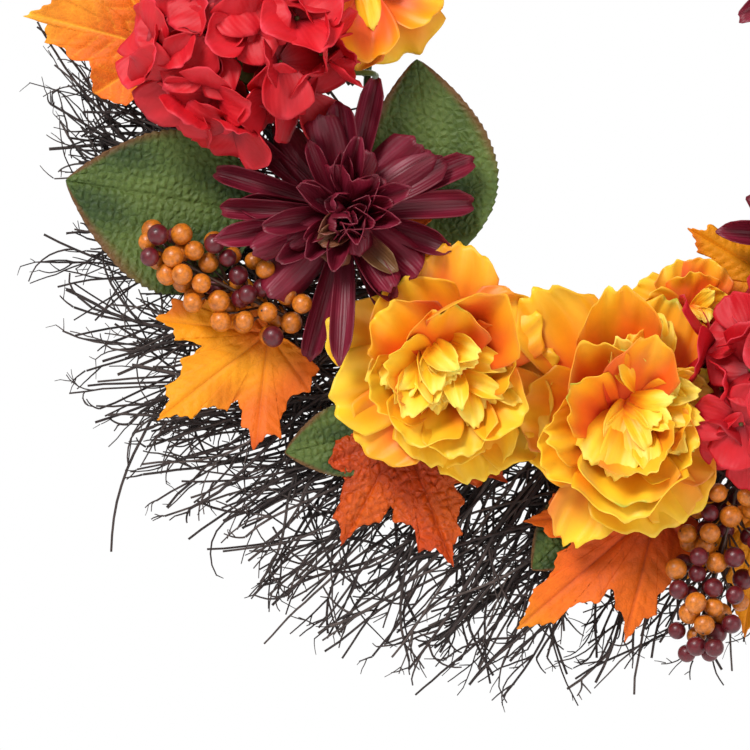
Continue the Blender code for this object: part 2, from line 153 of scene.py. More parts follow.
class Builder:
    """Gathers sheets, tubes and balls into one mesh, with a tint and a place ("along") at each point."""

    def __init__(self):
        self.points, self.tints, self.along, self.faces = [], [], [], []
        self.count = 0

    def add(self, points, tints, along):
        """Adds points and returns their numbers, in the grid's own shape."""
        shape = points.shape[:-1]
        self.points.append(points.reshape(-1, 3))
        self.tints.append(np.broadcast_to(tints, (*shape, 3)).reshape(-1, 3))
        self.along.append(np.broadcast_to(along, (*shape, 3)).reshape(-1, 3))
        numbers = np.arange(self.count, self.count + self.points[-1].shape[0]).reshape(shape)
        self.count += self.points[-1].shape[0]
        return numbers

    def quads(self, a, b, c, d):
        self.faces.extend(np.stack([a, b, c, d], -1).reshape(-1, 4).tolist())

    def sheet(self, points, tints, along, thickness):
        """A closed thin sheet over a grid of points: two faces and a rim."""
        du = np.gradient(points, axis=0)
        dv = np.gradient(points, axis=1)
        normal = np.cross(du, dv)
        normal /= np.linalg.norm(normal, axis=-1, keepdims=True) + 1e-12
        top = self.add(points + normal * thickness / 2, tints, along)
        low = self.add(points - normal * thickness / 2, tints, along)
        self.quads(top[:-1, :-1], top[1:, :-1], top[1:, 1:], top[:-1, 1:])
        self.quads(low[:-1, :-1], low[:-1, 1:], low[1:, 1:], low[1:, :-1])
        for t, l in (
            (top[0, :], low[0, :]),
            (top[:, -1], low[:, -1]),
            (top[-1, ::-1], low[-1, ::-1]),
            (top[::-1, 0], low[::-1, 0]),
        ):
            self.quads(t[:-1], t[1:], l[1:], l[:-1])

    def tube(self, points, radii, tint, sides=5, closed=False):
        """A round wire through the points, with flat ends unless it is closed."""
        points = np.asarray(points, float)
        n = len(points)
        if closed:
            tangent = np.roll(points, -1, 0) - np.roll(points, 1, 0)
        else:
            tangent = np.gradient(points, axis=0)
        tangent /= np.linalg.norm(tangent, axis=1, keepdims=True) + 1e-12
        side = np.cross(tangent[0], (0.31, 0.17, 0.93))
        frames = []
        for t in tangent:
            side = side - t * side.dot(t)
            side = side / np.linalg.norm(side)
            frames.append((side, np.cross(t, side)))
        frames = np.array(frames)
        turn = np.linspace(0, 2 * np.pi, sides, endpoint=False)
        cos, sin = np.cos(turn)[None, :, None], np.sin(turn)[None, :, None]
        ring = frames[:, 0, None] * cos + frames[:, 1, None] * sin
        radii = np.broadcast_to(radii, (n,))
        grid = points[:, None] + ring * radii[:, None, None]
        along = np.zeros((n, sides, 3))
        along[..., 0] = np.linspace(0, 1, n)[:, None]
        along[..., 1] = turn[None, :] / (2 * np.pi)
        tint = np.asarray(tint, float)
        if tint.ndim == 2:
            tint = tint[:, None]
        number = self.add(grid, tint, along)
        after = np.roll(number, -1, 1)
        if closed:
            following = np.roll(number, -1, 0)
            self.quads(number, after, np.roll(following, -1, 1), following)
        else:
            self.quads(number[:-1], after[:-1], after[1:], number[1:])
            self.faces.append(number[0, ::-1].tolist())
            self.faces.append(number[-1].tolist())

    def ball(self, centre, radius, tint, axis, rows=10, sides=16, squash=1.0):
        """A ball whose poles lie along axis. tint is one colour or one for each row."""
        axis = Vector(axis).normalized()
        turn = np.array(axis.to_track_quat("Z", "Y").to_matrix())
        lat = np.linspace(0, np.pi, rows + 1)[1:-1]
        lon = np.linspace(0, 2 * np.pi, sides, endpoint=False)
        out, up = np.sin(lat)[:, None], np.cos(lat)[:, None]
        ring = np.stack([out * np.cos(lon), out * np.sin(lon), squash * up + 0 * lon], -1)
        tint = np.broadcast_to(tint, (rows + 1, 3))
        place = np.zeros(3)
        number = self.add(np.asarray(centre) + radius * ring @ turn.T, tint[1:-1, None], place)
        poles = np.array([[0, 0, squash], [0, 0, -squash]])
        top, low = self.add(np.asarray(centre) + radius * poles @ turn.T, tint[[0, -1]], place)
        after = np.roll(number, -1, 1)
        self.quads(number[:-1], number[1:], after[1:], after[:-1])
        for k in range(sides):
            self.faces.append([int(top), int(number[0, k]), int(after[0, k])])
            self.faces.append([int(low), int(after[-1, k]), int(number[-1, k])])

    def object(self, name, material, merge=False):
        mesh = bpy.data.meshes.new(name)
        points = np.concatenate(self.points)
        mesh.from_pydata(points.tolist(), [], self.faces)
        for label, rows in (("tint", self.tints), ("along", self.along)):
            rows = np.concatenate(rows)
            layer = mesh.attributes.new(label, "FLOAT_COLOR", "POINT")
            rgba = np.ones((len(rows), 4), np.float32)
            rgba[:, :3] = rows
            layer.data.foreach_set("color", rgba.ravel())
        if merge:
            welded = bmesh.new()
            welded.from_mesh(mesh)
            bmesh.ops.remove_doubles(welded, verts=welded.verts, dist=1e-6)
            bmesh.ops.dissolve_degenerate(welded, edges=welded.edges, dist=1e-6)
            welded.to_mesh(mesh)
            welded.free()
        mesh.shade_smooth()
        mesh.materials.append(material)
        piece = bpy.data.objects.new(name, mesh)
        bpy.context.scene.collection.objects.link(piece)
        return piece


def grid_plane(half, height):
    x, y = np.meshgrid(np.linspace(-half, half, 9), np.linspace(-half, half, 9), indexing="ij")
    return np.stack([x, y, np.full_like(x, height)], -1)


def make_floor():
    made = Builder()
    made.sheet(grid_plane(FLOOR_HALF, FLOOR_Z), np.ones(3), np.zeros(3), 10 * MM)
    return made.object("floor", floor_material())


def facing_front(points):
    """From a flower's own frame, +Z towards the viewer, to the wreath's."""
    return np.stack([points[..., 0], -points[..., 2], points[..., 1]], -1)


def turned(points, angle):
    c, s = math.cos(angle), math.sin(angle)
    x, y, z = points[..., 0], points[..., 1], points[..., 2]
    return np.stack([c * x - s * y, s * x + c * y, z], -1)


def finish_piece(piece, body, node):
    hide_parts(node)
    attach(piece, body)


# ---- materials


def fill(node, **values):
    """Sets input values of a shader node, with _ for each space in their names."""
    for socket, value in values.items():
        node.inputs[socket.replace("_", " ")].default_value = value


class Look:
    """A material whose base colour is the mesh's own tint, mottled by noise between two levels.

    Most of its methods add a node and give that node's output.
    """

    def __init__(self, name, roughness, scale, low, high, **sockets):
        self.material = bpy.data.materials.new(name)
        self.material.use_nodes = True
        self.nodes, self.links = self.material.node_tree.nodes, self.material.node_tree.links
        self.shader = self.nodes["Principled BSDF"]
        fill(self.shader, Roughness=roughness, **sockets)
        self.place = self.nodes.new("ShaderNodeTexCoord").outputs["Object"]
        self.mottle = self.noise(scale, 4)
        self.colour = self.attribute("tint", "Color")
        self.shade(self.level(self.mottle, 0.3, 0.7, low, high))

    def attribute(self, name, output):
        node = self.nodes.new("ShaderNodeAttribute")
        node.attribute_name = name
        return node.outputs[output]

    def noise(self, scale, detail):
        node = self.nodes.new("ShaderNodeTexNoise")
        fill(node, Scale=scale, Detail=detail)
        self.links.new(self.place, node.inputs["Vector"])
        return node.outputs["Fac"]

    def bands(self, direction, scale, distortion, detail):
        """Waves along or across the mesh's "along" attribute."""
        node = self.nodes.new("ShaderNodeTexWave")
        node.bands_direction = direction
        fill(node, Scale=scale, Distortion=distortion, Detail=detail)
        self.links.new(self.attribute("along", "Vector"), node.inputs["Vector"])
        return node.outputs["Fac"]

    def level(self, source, from_low, from_high, low, high, smooth=False):
        """Maps one range onto another."""
        node = self.nodes.new("ShaderNodeMapRange")
        if smooth:
            node.interpolation_type = "SMOOTHSTEP"
        fill(node, From_Min=from_low, From_Max=from_high, To_Min=low, To_Max=high)
        self.links.new(source, node.inputs["Value"])
        return node.outputs["Result"]

    def shade(self, level):
        """Base colour: what it was, times this level."""
        node = self.nodes.new("ShaderNodeVectorMath")
        node.operation = "SCALE"
        self.links.new(self.colour, node.inputs[0])
        self.links.new(level, node.inputs["Scale"])
        self.colour = node.outputs["Vector"]
        self.links.new(self.colour, self.shader.inputs["Base Color"])

    def arithmetic(self, operation, first, second):
        node = self.nodes.new("ShaderNodeMath")
        node.operation = operation
        self.links.new(first, node.inputs[0])
        if isinstance(second, float):
            node.inputs[1].default_value = second
        else:
            self.links.new(second, node.inputs[1])
        return node.outputs[0]

    def bumped(self, heights, distance, strength):
        """Bump from the sum of (output, weight) heights. Gives the finished material."""
        total = None
        for output, weight in heights:
            scaled = self.arithmetic("MULTIPLY", output, float(weight))
            total = self.arithmetic("ADD", total, scaled) if total else scaled
        bump = self.nodes.new("ShaderNodeBump")
        fill(bump, Distance=distance, Strength=strength)
        self.links.new(total, bump.inputs["Height"])
        self.links.new(bump.outputs["Normal"], self.shader.inputs["Normal"])
        return self.material


def petal_material(name, rib_scale, rib_weight, roughness, sheen, mottle=0.1):
    """Moulded silk: soft sheen, fine ribs along each petal and a light crinkle."""
    sockets = {"Sheen_Weight": sheen, "Sheen_Roughness": 0.4}
    look = Look(name, roughness, 70, 1 - mottle, 1 + mottle, **sockets)
    heights = [(look.bands("Y", rib_scale, 2.5, 2), rib_weight), (look.noise(260, 5), 0.5)]
    return look.bumped(heights, 0.4 * MM, 0.5)


def leaf_material(name, net_scale, vein_tone_and_seam_shade, roughness, mottle, seam, deep):
    """Printed fabric: a net of fine veins, blotchy print and a woven grain. On the green and rust leaves
    the net follows their puffed cells, and its darker seams are painted shade.
    """
    look = Look(name, roughness, 55, 1 - mottle, 1 + mottle, Specular_IOR_Level=0.3)
    net = look.nodes.new("ShaderNodeTexVoronoi")
    net.feature = "DISTANCE_TO_EDGE"
    fill(net, Scale=net_scale)
    look.links.new(look.place, net.inputs["Vector"])
    from_seam = net.outputs["Distance"]
    # Colour along the net's seams: vein colour on the maples, painted shade on the green and rust leaves.
    look.shade(look.level(from_seam, 0, seam, vein_tone_and_seam_shade, 1))
    puffed = look.level(from_seam, 0, max(seam, 0.2), 0, 1, smooth=True)
    return look.bumped([(puffed, 0.8), (look.noise(900, 3), 0.3)], deep, 0.7)


def bark_material():
    look = Look("bark", 0.8, 160, 0.6, 1.5)
    heights = [(look.bands("X", 9, 8, 3), 0.4), (look.noise(700, 4), 0.6)]
    return look.bumped(heights, 0.4 * MM, 0.7)


def berry_material():
    """Lacquered foam: satin gloss over a speckled skin."""
    look = Look("berry_skin", 0.4, 650, 0.72, 1.28, Coat_Weight=0.2, Coat_Roughness=0.2)
    return look.bumped([(look.noise(1100, 3), 1)], 0.25 * MM, 0.6)


def wire_material(name, metallic, roughness):
    """Coated wire with dull patches."""
    look = Look(name, roughness, 320, 0.7, 1.3, Metallic=metallic)
    return look.bumped([(look.mottle, 1)], 0.2 * MM, 0.5)


def floor_material():
    look = Look("floor_paint", 0.7, 6, 0.86, 0.9)
    return look.bumped([(look.mottle, 1)], 0.5 * MM, 0.1)


# ---- petals


def petal(
    rng, length, width, lean, curl, cup=0.2, ruffle=0.0, waves=2.5, tip=0.25, scallop=0.0, neck=0.3,
    belly=0.65, start=3 * MM, crinkle=0.02, sway=0.0, rows=15, cols=11
):
    """One petal as a grid of points, with its place along (0 to 1) and across (-1 to 1).

    lean is its angle above the flower's own plane at the base, and curl is how much that angle
    changes by the tip, both in degrees. start is how far from the flower's axis its foot is.
    """
    u = np.linspace(0, 1, rows)[:, None]
    v = np.linspace(-1, 1, cols)[None, :]
    phase = rng.uniform(0, 2 * np.pi, 6)
    edge = 1 - tip * np.abs(v) ** 2.4
    edge = edge - scallop * (0.5 + 0.5 * np.cos(1.7 * waves * np.pi * v + phase[0]))
    s = u * edge
    rise = np.sin(np.pi / 2 * np.minimum(1, s / belly))
    fall = 1 - 0.3 * np.clip((s - belly) / (1 - belly), 0, 1) ** 2
    half = width / 2 * (neck + (1 - neck) * rise) * fall
    t = np.linspace(0, 1, 48)
    angle = np.radians(lean + curl * t**1.4)
    step = length / (len(t) - 1)
    path_x = np.concatenate([[0], np.cumsum(np.cos(angle[1:]) * step)])
    path_z = np.concatenate([[0], np.cumsum(np.sin(angle[1:]) * step)])
    at = np.interp(s, t, angle)
    wave = 0.6 * np.sin(waves * np.pi * v + phase[1]) + 0.35 * np.sin(2.3 * waves * np.pi * v + phase[2])
    height = cup * width * v**2 * s**0.8
    height = height + ruffle * width * s**2.5 * wave * (0.35 + 0.65 * np.abs(v))
    height = height + crinkle * width * s * np.sin(7 * s + 3 * v + phase[3]) * np.sin(5 * v + phase[4])
    x = start + np.interp(s, t, path_x) - height * np.sin(at)
    z = np.interp(s, t, path_z) + height * np.cos(at)
    y = v * half * (1 - 0.3 * cup * v**2) + sway * length * s**2
    return np.stack([x, y + 0 * x, z], -1), s + 0 * v, v + 0 * s


def place_along(s, v, number):
    """The "along" attribute: across the petal for the ribs, shifted for each petal."""
    return np.stack([s, 0.5 + 0.5 * v, np.full_like(s, 0.37 * number)], -1)


PEONY_RED_AND_SHADE = srgb(214, 52, 16)
PEONY_ORANGE = srgb(240, 104, 12)
PEONY_GOLD = srgb(250, 168, 10)
PEONY_YELLOW = srgb(254, 204, 36)
PEONY_PALE = srgb(255, 228, 96)
PEONY_CORAL = srgb(232, 96, 44)
TIP_GREEN = srgb(140, 176, 52)
SEPAL = srgb(122, 142, 52)


def peony_tints(rng, s, v, warmth, core=0.0):
    """warmth 0 is yellow with an orange foot, 1 all orange; core 1 is the pale clump."""
    wander = 0.1 * np.sin(3.5 * v + rng.uniform(0, 6.28))
    wander = wander + 0.06 * np.sin(9 * v + rng.uniform(0, 6.28))
    t = s + 0.08 + wander - 0.5 * warmth + 0.28 * core
    # Red-orange at each petal's foot: the petals' own colour, deepened as painted shade where they overlap.
    tint = mix(PEONY_RED_AND_SHADE, PEONY_ORANGE, ramp(t, -0.15, 0.34))
    tint = mix(tint, PEONY_GOLD, ramp(t, 0.26, 0.68))
    tint = mix(tint, PEONY_YELLOW, ramp(t, 0.58, 0.98))
    tint = mix(tint, PEONY_PALE, ramp(t, 0.92, 1.2) * (0.25 + 0.75 * core))
    if rng.random() < 0.4:
        blush = ramp(v * rng.choice([-1, 1]), 0.15, 1.0) * ramp(s, 0.35, 0.8)
        tint = mix(tint, PEONY_CORAL, blush * rng.uniform(0.35, 0.8) * (1 - core))
    if rng.random() < 0.1:
        tint = mix(tint, TIP_GREEN, 0.7 * ramp(s, 0.9, 1.0) * (np.abs(v) < 0.35))
    return tint * rng.uniform(0.94, 1.03)


def lay_petal(made, points, angle, lift, tints, s, v, k, thickness=0.35 * MM, shift=(0, 0)):
    points = turned(points, math.radians(angle)) + np.array([shift[0], shift[1], lift]) * MM
    made.sheet(facing_front(points), tints, place_along(s, v, k), thickness)


# The two blooms in full view. Of each broad petal: direction, length and width in mm, lean, curl,
# cup, height of its foot and warmth
PEONY_PETALS = {
    1: (
        (150, 58, 40, 4, 6, 0.1, 5, 0.1), (188, 56, 44, 8, 6, 0.1, 6, 0.0),
        (224, 55, 44, 4, 2, 0.12, 5, 0.55), (262, 48, 46, 8, 4, 0.1, 6, 0.0),
        (296, 52, 44, 8, 8, 0.12, 7, -0.1), (330, 57, 50, 10, 8, 0.14, 6, -0.1),
        (8, 54, 42, 8, 2, 0.1, 5, 0.3), (84, 63, 42, 7, 4, 0.12, 5, 0.5),
        (112, 50, 46, 12, 6, 0.15, 6, 0.35), (40, 56, 44, 12, 4, 0.1, 6, 0.3),
        (62, 64, 54, 30, 26, 0.5, 9, 0.75), (128, 48, 44, 30, 12, 0.22, 10, 0.45),
        (92, 46, 44, 40, 16, 0.32, 12, 0.6), (18, 42, 40, 34, 10, 0.3, 11, 0.3),
        (338, 48, 42, 22, 18, 0.32, 10, 0.0), (246, 44, 42, 24, 12, 0.26, 10, 0.1),
        (286, 44, 40, 27, 12, 0.26, 11, -0.15), (205, 44, 40, 26, 12, 0.26, 10, 0.2),
        (168, 40, 38, 42, 14, 0.3, 13, 0.2),
    ),
    2: (
        (118, 80, 46, 6, 2, 0.1, 5, 0.2), (165, 52, 44, 8, 6, 0.1, 5, 0.35),
        (200, 50, 42, 6, 4, 0.1, 6, 0.2), (250, 62, 34, 2, -4, 0.1, 5, 0.1),
        (282, 54, 56, 6, 6, 0.12, 6, -0.1), (318, 54, 46, 6, 2, 0.1, 5, 0.0),
        (348, 50, 44, 10, 6, 0.12, 6, 0.2), (24, 48, 42, 10, 2, 0.1, 5, 0.4),
        (62, 66, 44, 8, 4, 0.12, 6, 0.5), (100, 70, 46, 22, 14, 0.42, 8, 0.6),
        (78, 58, 40, 34, 20, 0.4, 10, 0.75), (122, 56, 38, 30, 16, 0.36, 10, 0.6),
        (150, 44, 38, 38, 12, 0.3, 11, 0.55), (178, 44, 38, 30, 10, 0.26, 10, 0.35),
        (214, 44, 40, 22, 10, 0.24, 10, 0.1), (276, 52, 62, 22, 20, 0.34, 9, -0.1),
        (268, 44, 54, 34, 18, 0.36, 11, -0.1), (300, 40, 46, 44, 12, 0.36, 13, 0.0),
        (335, 44, 42, 26, 12, 0.26, 10, 0.05), (12, 42, 38, 32, 12, 0.28, 11, 0.3),
    ),
}
# Their pale clumps of folded petals: where their feet are in mm, the way they fan, how far and how
# many
PEONY_CLUMPS = {
    1: ((-7, 13, 288, 48, 28), (6, 2, 310, 40, 6)),
    2: ((6, 17, 30, 85, 22), (3, 8, 292, 46, 14)),
}


def peony_petals(rng, number, low):
    """The broad petals of a bloom: as listed, or spread at random over three loose layers."""
    if number in PEONY_PETALS:
        return PEONY_PETALS[number]
    layers = ((6, 50, 48, 6, 0.12, 6, 0.15), (6, 47, 46, 22, 0.25, 9, 0.3), (5, 42, 42, 38, 0.34, 12, 0.3))
    if low:
        layers = ((6, 43, 44, 2, 0.08, 5, 0.3), (5, 37, 40, 16, 0.2, 8, 0.4))
    listed = []
    for level, (count, length, width, lean, cup, foot, warmth) in enumerate(layers):
        for k in range(count):
            angle = 360 * (k + rng.uniform(-0.35, 0.35)) / count + 40 * level
            long, wide = rng.uniform(0.86, 1.14, 2)
            row = (length * long, width * wide, lean + rng.uniform(-8, 12), rng.uniform(-8, 20))
            listed.append((angle, *row, cup * rng.uniform(0.6, 1.5), foot, warmth + rng.uniform(-0.3, 0.4)))
    return listed


def finish_bloom(made, kind, number, at, material):
    """A bloom's petals as one piece, riding its own body."""
    piece = made.object(f"{kind}_petals_{number}", material)
    piece.location = at
    finish_piece(piece, f"{kind}_{number}", f"{kind}_bloom_{number}")


def make_peony(number, at, size, material):
    """Broad cupped petals in loose layers round a clump of narrow folded pale ones."""
    rng = np.random.default_rng(100 + number)
    made = Builder()
    cad_low, cad_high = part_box(f"peony_bloom_{number}")
    low = cad_high.x - cad_low.x < 70 * MM
    for k, row in enumerate(peony_petals(rng, number, low)):
        angle, length, width, lean, curl, cup, foot, warmth = row
        points, s, v = petal(
            rng, length * MM * size * rng.uniform(0.95, 1.03), width * MM * size,
            lean + rng.uniform(-4, 4), curl + rng.uniform(-14, 8), cup,
            ruffle=rng.uniform(0.07, 0.12), waves=rng.uniform(1.4, 2.8), tip=0.22, scallop=0.05,
            neck=0.22, belly=0.74, start=rng.uniform(1, 4) * MM, sway=rng.uniform(-0.14, 0.14),
            crinkle=0.045, rows=25, cols=25
        )
        scallops = 0.012 * np.cos(13 * v + number) * ramp(s, 0.8, 1.0)
        points[..., 0] += scallops * length * MM
        lay_petal(made, points, angle, foot * size, peony_tints(rng, s, v, warmth), s, v, k)
    clumps = PEONY_CLUMPS.get(number, ((0, 6, 270 + 30 * number, 90, 9 if low else 24),))
    folded = [(*row, k / row[4]) for row in clumps for k in range(row[4])]
    for k, (foot_x, foot_y, fan, spread, _, share) in enumerate(folded):
        angle = fan + spread * rng.uniform(-1.25, 1.25)
        length = (42 - 17 * share) * size * rng.uniform(0.8, 1.1) * (0.7 if low else 1)
        points, s, v = petal(
            rng, length * MM, length * rng.uniform(0.36, 0.58) * MM,
            rng.uniform(26, 44) + 19 * share, rng.uniform(-66, -8),
            rng.uniform(0.15, 0.5) * rng.choice([1, 1, -1]), ruffle=0.13,
            waves=rng.uniform(1.2, 2.4), tip=0.3, scallop=0.06, neck=0.4, belly=0.72,
            start=0.5 * MM, sway=rng.uniform(-0.25, 0.25), crinkle=0.06, rows=19, cols=15
        )
        shift = (foot_x * size + rng.uniform(-5, 5), foot_y * size + rng.uniform(-5, 5))
        lift = (12 + 9 * share) * size if not low else 8 + 5 * share
        tints = peony_tints(rng, s, v, rng.uniform(-0.1, 0.35) * (1 - share), 0.6 + 0.4 * share)
        lay_petal(made, points, angle, lift, tints, s, v, k, shift=shift)
    finish_bloom(made, "peony", number, at, material)


MUM_BASE_SHADE = srgb(64, 4, 20)
MUM_WINE = srgb(112, 8, 34)
MUM_PAINTED_SHEEN = srgb(152, 44, 70)
MUM_OLIVE = srgb(112, 100, 48)


def mum_tints(rng, s, v, inner):
    # Dark towards each petal's foot: painted shade in the crowded centre.
    tint = mix(MUM_BASE_SHADE, MUM_WINE, ramp(s, 0.0, 0.45 + 0.2 * rng.random()))
    # Pink along each petal's ridges: painted sheen.
    painted_sheen = np.exp(-(((np.abs(v) - 0.45) / 0.16) ** 2)) * ramp(s, 0.2, 0.6)
    tint = mix(tint, MUM_PAINTED_SHEEN, painted_sheen * rng.uniform(0.1, 0.7))
    if rng.random() < 0.05 + 0.14 * inner:
        tint = mix(tint, MUM_OLIVE, ramp(s, 0.35, 0.8) * rng.uniform(0.3, 0.8))
    return tint * rng.uniform(0.82, 1.12)


# Direction and length in mm of each outer petal, irregular as the first bloom is
MUM_OUTER = (
    (24, 69), (8, 62), (51, 53), (77, 66), (100, 50), (131, 58), (146, 66), (159, 65), (180, 48),
    (192, 62), (212, 50), (229, 52), (257, 78), (270, 73), (298, 54), (325, 50), (345, 52),
)
MUM_SPIN = {1: 0.0, 2: 156.0, 3: 200.0, 4: 132.0}  # the turn of each bloom


def make_mum(number, at, size, material):
    rng = np.random.default_rng(200 + number)
    made = Builder()
    spin = MUM_SPIN[number]
    petals = [(a + spin, length, 15, 2 + 9 * (k % 2), 4, 0.0) for k, (a, length) in enumerate(MUM_OUTER)]
    # count, length, width, lean, height above the base, inner
    layers = (
        (9, 52, 14, 20, 8, 0.0),
        (10, 40, 13, 36, 10, 0.4),
        (10, 32, 12.5, 50, 12, 0.7),
        (10, 26, 11.5, 62, 13, 0.9),
        (8, 20, 10, 72, 14, 1.0),
    )
    for level, (count, length, width, lean, lift, inner) in enumerate(layers):
        for k in range(count):
            angle = 360 * (k + rng.uniform(-0.6, 0.6)) / count + 17 * level
            petals.append((angle, length * rng.uniform(0.85, 1.12), width, lean, lift, inner))
    for k, (angle, length, width, lean, lift, inner) in enumerate(petals):
        boat = rng.uniform(0.45, 0.9) if rng.random() < 0.65 else rng.uniform(-0.6, -0.3)
        points, s, v = petal(
            rng, length * MM * size * rng.uniform(0.93, 1.05),
            width * MM * size * rng.uniform(0.9, 1.25), lean + rng.uniform(-8, 8) * (1 + inner),
            rng.uniform(-30, 34) - 8 + 60 * inner * rng.uniform(-1, 1), boat, ruffle=0.07,
            waves=1.3, tip=0.14, scallop=0.03, belly=0.7, start=rng.uniform(1, 3) * MM,
            crinkle=0.07, sway=rng.uniform(-0.12, 0.12) * (1 + inner), rows=19
        )
        shift = rng.uniform(-6, 6, 2) * inner
        lay_petal(made, points, angle, lift * size, mum_tints(rng, s, v, inner), s, v, k, 0.4 * MM, shift)
    finish_bloom(made, "mum", number, at, material)


HYDRANGEA_PAINTED_SHADE = srgb(132, 0, 18)
HYDRANGEA_RED = srgb(204, 6, 26)
HYDRANGEA_PAINTED_HIGHLIGHT = srgb(230, 60, 80)
FLORET_EYE = srgb(92, 84, 40)
FLORETS, FLORETS_UNDER = 19, 9


def make_hydrangea(number, at, size, material):
    """Large four-petalled florets crowded over a dome, over a layer that fills the gaps, darkened as
    painted shade.
    """
    rng = np.random.default_rng(300 + number)
    made = Builder()
    golden = math.pi * (3 - math.sqrt(5))
    for k in range(FLORETS + FLORETS_UNDER):
        under = k >= FLORETS
        index = k - FLORETS if under else k
        total = FLORETS_UNDER if under else FLORETS
        polar = math.acos(1 - 1.18 * (index + 0.5) / total)
        around = golden * index + number
        flat = math.sin(polar)
        out = Vector((flat * math.cos(around), flat * math.sin(around), math.cos(polar)))
        dome = Vector((out.x * 40, out.y * 35, 22 + out.z * 20)) * MM * size
        dome += out * rng.uniform(-4, 4) * MM
        if under:
            dome = Vector((dome.x * 0.72, dome.y * 0.72, dome.z * 0.62))
        facing = (out + Vector((0, 0, 0.35)) + Vector(rng.uniform(-0.34, 0.34, 3))).normalized()
        turn = np.array(facing.to_track_quat("Z", "Y").to_matrix())
        spin = rng.uniform(0, 90)
        # The under layer is darkened as painted shade in the gaps; the rest is random tone.
        shade = rng.uniform(0.86, 1.06) * (0.62 if under else 1.0)
        grow = size * rng.uniform(0.88, 1.1)
        for j in range(4):
            points, s, v = petal(
                rng, 25 * MM * grow * rng.uniform(0.88, 1.1), 27 * MM * grow * rng.uniform(0.88, 1.12),
                rng.uniform(-4, 44), rng.uniform(-55, 42), rng.uniform(-0.12, 0.34), ruffle=0.07,
                waves=rng.uniform(1.0, 2.0), tip=0.3, scallop=0.025, neck=0.22, belly=0.66,
                start=0.6 * MM, crinkle=0.045, sway=rng.uniform(-0.12, 0.12), cols=15
            )
            points[..., 2] += 0.6 * MM * (j % 2)
            local = turned(points, math.radians(spin + j * 90 + rng.uniform(-12, 12))) @ turn.T
            # Deep red at each petal's foot: painted shade in the folds.
            tint = mix(HYDRANGEA_PAINTED_SHADE, HYDRANGEA_RED, ramp(s, 0.0, 0.45))
            # Pink at the tips and in faint streaks: painted highlight.
            painted_highlight = ramp(s, 0.84, 1.0) * rng.uniform(0.1, 0.6) + 0.12 * ramp(np.sin(9 * s + 5 * v), 0.2, 1.0)
            tint = mix(tint, HYDRANGEA_PAINTED_HIGHLIGHT, painted_highlight) * shade
            made.sheet(facing_front(local + np.array(dome)), tint, place_along(s, v, k), 0.35 * MM)
        eye = np.array(dome + facing * 1.2 * MM)
        made.ball(facing_front(eye), 1.3 * MM, FLORET_EYE, facing_front(np.array(facing)), 6, 8)
        root = np.array([0.0, 0.0, 8 * MM])
        stalk = np.stack([root, root * 0.3 + np.array(dome) * 0.7, np.array(dome)])
        made.tube(facing_front(stalk), 0.7 * MM, SEPAL, 4)
    finish_bloom(made, "hydrangea", number, at, material)


# ---- twigs

BARK = srgb(46, 34, 32)
BARK_LIGHT = srgb(110, 96, 90)
BUNDLES = 8
FIRST_BUNDLE = 116.5  # the angle of its middle
TUFTS = 13  # in each bundle
TWIGS = 12  # in each tuft
SLANT = 45.0  # clockwise from straight out, in degrees
ROOT_R = INNER_RING_R + 6 * MM
REACH = 310 * MM
SPLAY_R = 235 * MM  # past this radius the tips spread towards the front and the back
OVAL, OVAL_WAY = 0.06, 261  # the share by which the reach falls off, and where it is greatest
ROOT_HALF = 21.5  # half of the angle that a bundle's roots take up
FAN = 8.0  # how much more the outermost twigs of a bundle slant, in degrees


def bark_tint(rng):
    return mix(BARK, BARK_LIGHT, np.array(rng.uniform(0, 1) ** 3 * 0.6)) * rng.uniform(0.75, 1.2)


def twig_run(rng, start, heading, length, radius, bend, steps, kink=0.09, wander=0.085):
    """A wandering, kinked twig in the plane of the wreath: its points, radii and headings."""
    points, headings = [np.array(start)], [heading]
    rise = rng.normal(0, 0.03)
    step = length / steps
    side = rng.choice([-1, 1])
    swing, pace, phase = rng.normal(0, wander), rng.uniform(0.2, 0.5), rng.uniform(0, 6.28)
    for k in range(steps):
        heading = heading + bend / steps + swing * math.sin(pace * k + phase) + rng.normal(0, 0.03)
        if rng.random() < 0.4:
            heading = heading + side * abs(rng.normal(0, kink))
            side = -side
        rise = rise * 0.75 + rng.normal(0, 0.03)
        points.append(points[-1] + step * np.array([math.cos(heading), rise, math.sin(heading)]))
        headings.append(heading)
    points = np.array(points)
    far = np.hypot(points[:, 0], points[:, 2] - CENTRE.z)
    splay = ramp(far, SPLAY_R, SPLAY_R + 65 * MM) * rng.uniform(-4, 9) * MM
    front = TWIG_FRONT - rng.uniform(0.5, 6) * MM + np.maximum(splay, 0)
    back = rng.uniform(3.5, 7.5) * MM
    points[:, 1] = DOOR - np.clip(DOOR - points[:, 1] + splay, back, front)
    radii = radius * (1 - 0.38 * np.linspace(0, 1, steps + 1))
    return points, radii, headings


def kept(points, reach):
    """How many points of a twig to keep, so that it stays between the inner ring and this reach."""
    far = np.hypot(points[:, 0], points[:, 2] - CENTRE.z)
    past = (far > reach) | (far < INNER_RING_R - 2 * MM)
    return int(np.argmax(past)) if past.any() else len(points)


